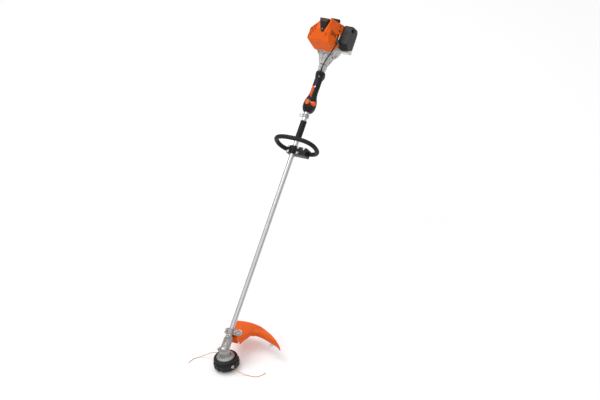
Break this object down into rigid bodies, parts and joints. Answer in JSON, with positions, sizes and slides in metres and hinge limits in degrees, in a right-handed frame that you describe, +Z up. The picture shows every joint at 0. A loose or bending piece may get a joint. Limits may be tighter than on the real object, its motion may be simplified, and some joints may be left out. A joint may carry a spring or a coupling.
{
  "type": "petrol loop-handle brush mower",
  "caption": "Long-shaft petrol brush mower with rear engine, loop handle, angle gearbox, side deflector and bump-feed line head.",
  "frame": {"origin": "floor point under the mowing head's spin axis, on the flat bottom of the bump knob", "axes": "+Z up, the drive tube rises towards +Y at 35 degrees, +X is the machine's left (air filter) side"},
  "size_m": [0.443, 1.4956, 1.1802],
  "materials": {
    "orange_plastic": "moulded polymer, satin",
    "black_plastic": "moulded polymer, fine grain",
    "rubber": "soft grip rubber",
    "grey_plastic": "light grey glass-filled polymer",
    "cast_aluminium": "die cast, blasted",
    "tube_aluminium": "drawn and anodised",
    "steel": "machined or zinc plated",
    "spool_plastic": "moulded polymer wound with line",
    "trimmer_line": "round nylon line",
    "tank_plastic": "translucent blow-moulded polymer"
  },
  "bodies": {
    "root": {"deflector": "orange_plastic", "shroud": "orange_plastic", "loop_clamp_lower": "black_plastic", "loop_clamp_upper": "black_plastic", "handle_left": "black_plastic", "handle_right": "black_plastic", "plug_cover": "black_plastic", "filter_cover": "black_plastic", "starter_housing": "black_plastic", "loop_handle": "rubber", "hose_grip": "rubber", "throttle_cable": "rubber", "neck_clamp": "grey_plastic", "clutch_housing": "grey_plastic", "gearbox_housing": "cast_aluminium", "guard_clamp": "cast_aluminium", "harness_eyelet": "cast_aluminium", "cylinder": "cast_aluminium", "crankcase": "cast_aluminium", "carburettor": "cast_aluminium", "drive_tube": "tube_aluminium", "gearbox_plug": "steel", "guard_bolt_a": "steel", "guard_bolt_b": "steel", "line_cutter": "steel", "loop_bolt_a": "steel", "loop_bolt_b": "steel", "spark_plug": "steel", "muffler": "steel", "fuel_tank": "tank_plastic"},
    "head": {"head_shell": "black_plastic", "head_cover": "black_plastic", "line_eyelet_a": "steel", "line_eyelet_b": "steel", "trimmer_line_a": "trimmer_line", "trimmer_line_b": "trimmer_line", "thrust_plate": "cast_aluminium", "output_gear": "steel", "head_spring": "steel"},
    "bump": {"bump_knob": "black_plastic"},
    "spool": {"spool": "spool_plastic"},
    "drive": {"pinion_gear": "steel", "drive_shaft": "steel", "clutch_drum": "steel"},
    "crank": {"crankshaft": "steel", "fan_wheel": "cast_aluminium"},
    "shoe_a": {"clutch_shoe_a": "steel"},
    "shoe_b": {"clutch_shoe_b": "steel"},
    "piston": {"piston": "cast_aluminium"},
    "rod": {"connecting_rod": "steel"},
    "pulley": {"starter_pulley": "black_plastic"},
    "grip": {"starter_grip": "black_plastic"},
    "trigger": {"throttle_trigger": "orange_plastic"},
    "lockout": {"throttle_lockout": "orange_plastic"},
    "stop": {"stop_button": "orange_plastic"},
    "dial": {"speed_dial": "orange_plastic"},
    "lever": {"throttle_lever": "steel"},
    "primer": {"primer_bulb": "rubber"},
    "fuel_cap": {"fuel_cap": "black_plastic"},
    "filter_knob": {"filter_knob": "black_plastic"}
  },
  "joints": [
    {"name": "head_spin", "type": "hinge", "parent": "root", "child": "head", "pos_m": [0, 0, 0.05], "axis": [0, 0, 1], "continuous": true},
    {"name": "bump_slide", "type": "slide", "parent": "head", "child": "bump", "axis": [0, 0, 1], "range_m": [0, 0.006], "stiffness_N_per_m": 4000, "springref_m": -0.01, "deforming": ["head_spring"]},
    {"name": "spool_index", "type": "hinge", "parent": "bump", "child": "spool", "pos_m": [0, 0, 0.037], "axis": [0, 0, 1], "continuous": true},
    {"name": "drive_spin", "type": "hinge", "parent": "root", "child": "drive", "pos_m": [0, 0.57341, 0.4985], "axis": [0, 0.8192, 0.5736], "continuous": true},
    {"name": "crank_spin", "type": "hinge", "parent": "root", "child": "crank", "pos_m": [0, 1.28607, 0.99752], "axis": [0, 0.8192, 0.5736], "continuous": true},
    {"name": "shoe_a_slide", "type": "slide", "parent": "crank", "child": "shoe_a", "axis": [-1, 0, 0], "range_m": [0, 0.001], "stiffness_N_per_m": 5000, "springref_m": -0.002},
    {"name": "shoe_b_slide", "type": "slide", "parent": "crank", "child": "shoe_b", "axis": [1, 0, 0], "range_m": [0, 0.001], "stiffness_N_per_m": 5000, "springref_m": -0.002},
    {"name": "piston_slide", "type": "slide", "parent": "root", "child": "piston", "axis": [0, 0.5736, -0.8192], "range_m": [0, 0.028]},
    {"name": "rod_swing", "type": "hinge", "parent": "piston", "child": "rod", "pos_m": [0, 1.28647, 1.07592], "axis": [0, 0.8192, 0.5736], "range_deg": [-16.2, 16.2]},
    {"name": "starter_pull", "type": "slide", "parent": "root", "child": "grip", "axis": [0, 0.0872, 0.9962], "range_m": [0, 0.7], "stiffness_N_per_m": 8, "springref_m": -0.5},
    {"name": "pulley_turn", "type": "hinge", "parent": "root", "child": "pulley", "pos_m": [0, 1.36389, 1.05201], "axis": [0, 0.8192, 0.5736], "range_deg": [0, 1560]},
    {"name": "trigger_pull", "type": "hinge", "parent": "root", "child": "trigger", "pos_m": [0, 1.10701, 0.84528], "axis": [-1, 0, 0], "range_deg": [0, 14], "stiffness_Nm_per_rad": 1, "springref_deg": -8.59},
    {"name": "lockout_press", "type": "hinge", "parent": "root", "child": "lockout", "pos_m": [0, 1.07145, 0.87165], "axis": [-1, 0, 0], "range_deg": [0, 5], "stiffness_Nm_per_rad": 1, "springref_deg": -5.73},
    {"name": "stop_press", "type": "slide", "parent": "root", "child": "stop", "axis": [0, 0.5736, -0.8192], "range_m": [0, 0.003], "stiffness_N_per_m": 300, "springref_m": -0.002},
    {"name": "dial_turn", "type": "hinge", "parent": "root", "child": "dial", "pos_m": [0, 1.04655, 0.84445], "axis": [1, 0, 0], "range_deg": [0, 120]},
    {"name": "carb_lever", "type": "hinge", "parent": "root", "child": "lever", "pos_m": [0.05115, 1.2883, 1.0733], "axis": [0, -0.5736, 0.8192], "range_deg": [0, 56]},
    {"name": "primer_press", "type": "slide", "parent": "root", "child": "primer", "axis": [0, -0.5736, 0.8192], "range_m": [0, 0.004], "stiffness_N_per_m": 400, "springref_m": -0.002},
    {"name": "fuel_cap_turn", "type": "hinge", "parent": "root", "child": "fuel_cap", "pos_m": [-0.08, 1.39363, 0.98738], "axis": [-1, 0, 0], "range_deg": [0, 90]},
    {"name": "filter_knob_turn", "type": "hinge", "parent": "root", "child": "filter_knob", "pos_m": [0.112, 1.36094, 1.0829], "axis": [1, 0, 0], "range_deg": [0, 90]}
  ],
  "couplings": [
    {"joint": "drive_spin", "follows": "head_spin", "ratio": 2.0588},
    {"joint": "pulley_turn", "follows": "starter_pull", "rad_per_m": 38.462},
    {"joint": "carb_lever", "follows": "trigger_pull", "ratio": 4}
  ]
}
